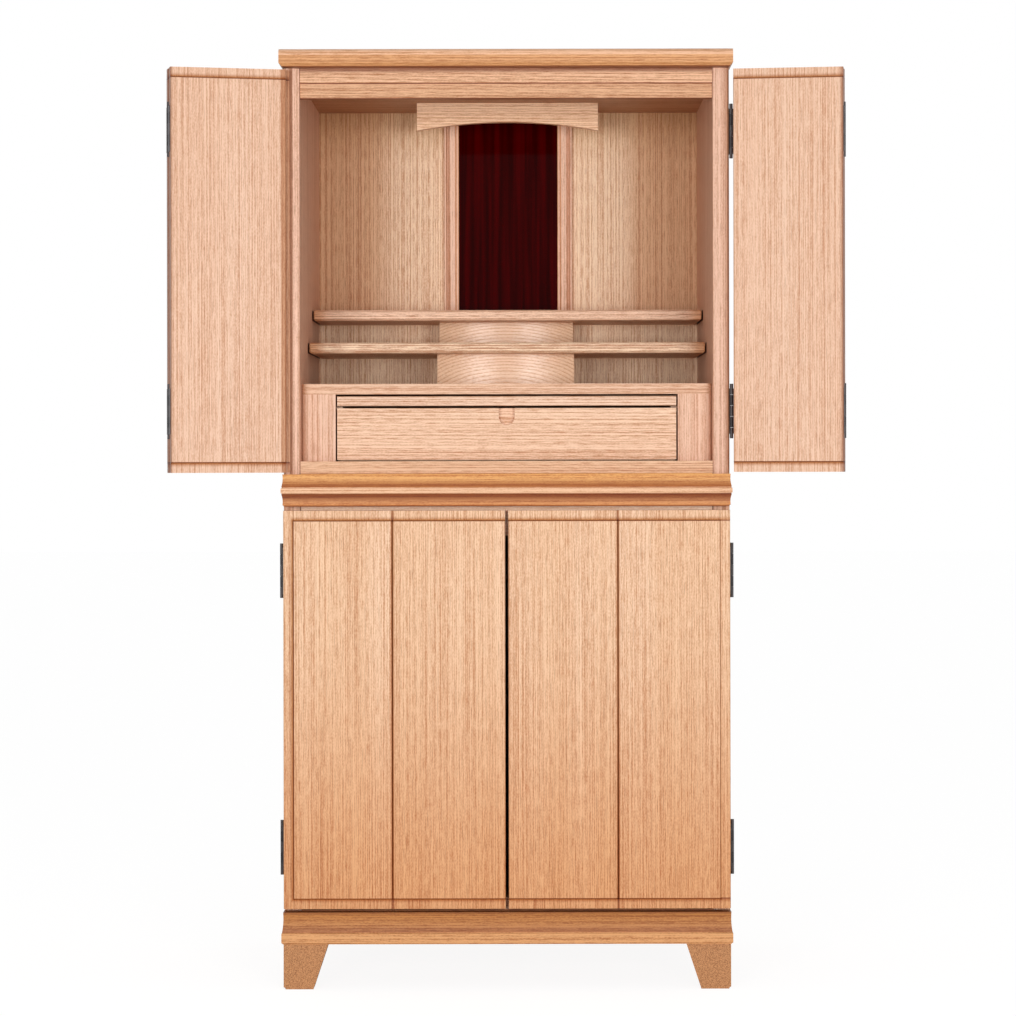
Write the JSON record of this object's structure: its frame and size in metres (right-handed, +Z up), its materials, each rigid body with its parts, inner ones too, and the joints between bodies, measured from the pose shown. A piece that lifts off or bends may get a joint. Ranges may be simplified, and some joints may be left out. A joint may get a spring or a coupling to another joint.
{
  "type": "buddhist home altar",
  "caption": "Floor-standing wooden home altar: shrine cabinet with open folding doors, stepped interior, pull-out tray and drawer, over a cupboard with hinged doors on tapered feet.",
  "frame": {"origin": "on the floor, in the middle of the whole outline with the folding doors open", "axes": "+Z up, the front faces -Y, +X to the right seen from the front"},
  "size_m": [0.8679, 0.4701, 1.2],
  "materials": {
    "ash": "satin",
    "ash_moulding": "satin",
    "thin_ply": "matte",
    "dark_lacquer": "gloss",
    "hinge_metal": "dark bronze"
  },
  "bodies": {
    "cabinet": {"feet": "ash", "base_moulding": "ash_moulding", "waist_moulding": "ash_moulding", "back_rails": "ash", "lower_side_left": "ash", "lower_side_right": "ash", "lower_bottom": "ash", "lower_back": "ash", "lower_front_rail": "ash", "lower_top": "ash", "upper_side_left": "ash", "upper_side_right": "ash", "upper_bottom": "ash", "upper_back": "ash", "ceiling": "ash", "upper_front_rail": "ash", "lower_lintel": "ash", "crown_board": "ash_moulding", "altar_floor": "ash", "middle_step": "ash", "upper_step": "ash", "lower_pedestal": "ash", "upper_pedestal": "ash", "shrine_strips": "ash", "lacquer_panel": "dark_lacquer", "valance": "ash", "bay_side_left": "ash", "bay_side_right": "ash", "tray_runners": "ash", "lower_hinges_cabinet": "hinge_metal", "outer_leaf_left": "ash", "inner_leaf_left": "ash", "upper_hinges_left": "hinge_metal", "outer_leaf_right": "ash", "inner_leaf_right": "ash", "upper_hinges_right": "hinge_metal"},
    "drawer": {"drawer_front": "ash", "drawer_sides": "ash", "drawer_back": "ash", "drawer_bottom": "thin_ply"},
    "tray": {"pull_out_tray": "ash"},
    "left_door": {"lower_door_left": "ash", "lower_hinges_left": "hinge_metal"},
    "right_door": {"lower_door_right": "ash", "lower_hinges_right": "hinge_metal"}
  },
  "joints": [
    {"name": "drawer_slide", "type": "slide", "parent": "cabinet", "child": "drawer", "axis": [0, -1, 0], "range_m": [0, 0.24]},
    {"name": "tray_slide", "type": "slide", "parent": "cabinet", "child": "tray", "axis": [0, -1, 0], "range_m": [0, 0.22]},
    {"name": "left_door_hinge", "type": "hinge", "parent": "cabinet", "child": "left_door", "pos_m": [-0.2885, -0.18093, 0.356], "axis": [0, 0, -1], "range_deg": [0, 170]},
    {"name": "right_door_hinge", "type": "hinge", "parent": "cabinet", "child": "right_door", "pos_m": [0.2885, -0.18093, 0.356], "axis": [0, 0, 1], "range_deg": [0, 170]}
  ]
}
